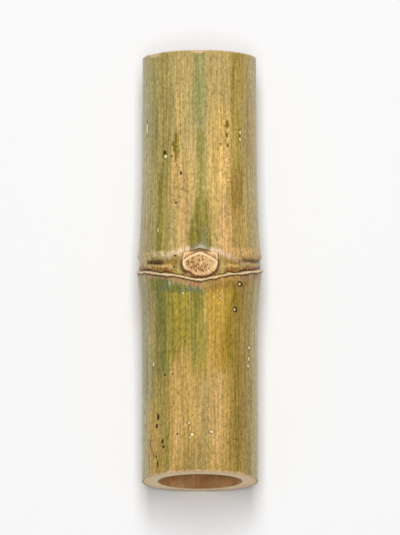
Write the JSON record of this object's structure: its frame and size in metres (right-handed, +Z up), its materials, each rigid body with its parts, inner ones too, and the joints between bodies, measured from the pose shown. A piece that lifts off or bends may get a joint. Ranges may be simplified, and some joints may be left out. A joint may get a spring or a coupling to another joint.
{
  "type": "bamboo culm section",
  "caption": "Short sawn section of a thick bamboo pole lying on its side, with one node, a cut branch stub and a hollow at each end.",
  "frame": {"origin": "on the surface it lies on, under the middle of its box", "axes": "+Y along the culm in the direction it grew, +X across it, +Z up, with the cut branch stub on top"},
  "size_m": [0.0896, 0.3028, 0.0883],
  "materials": {
    "bamboo": "satin, mottled yellow, green and tan rind with pale sawn ends"
  },
  "bodies": {
    "root": {"culm": "bamboo"}
  },
  "joints": []
}
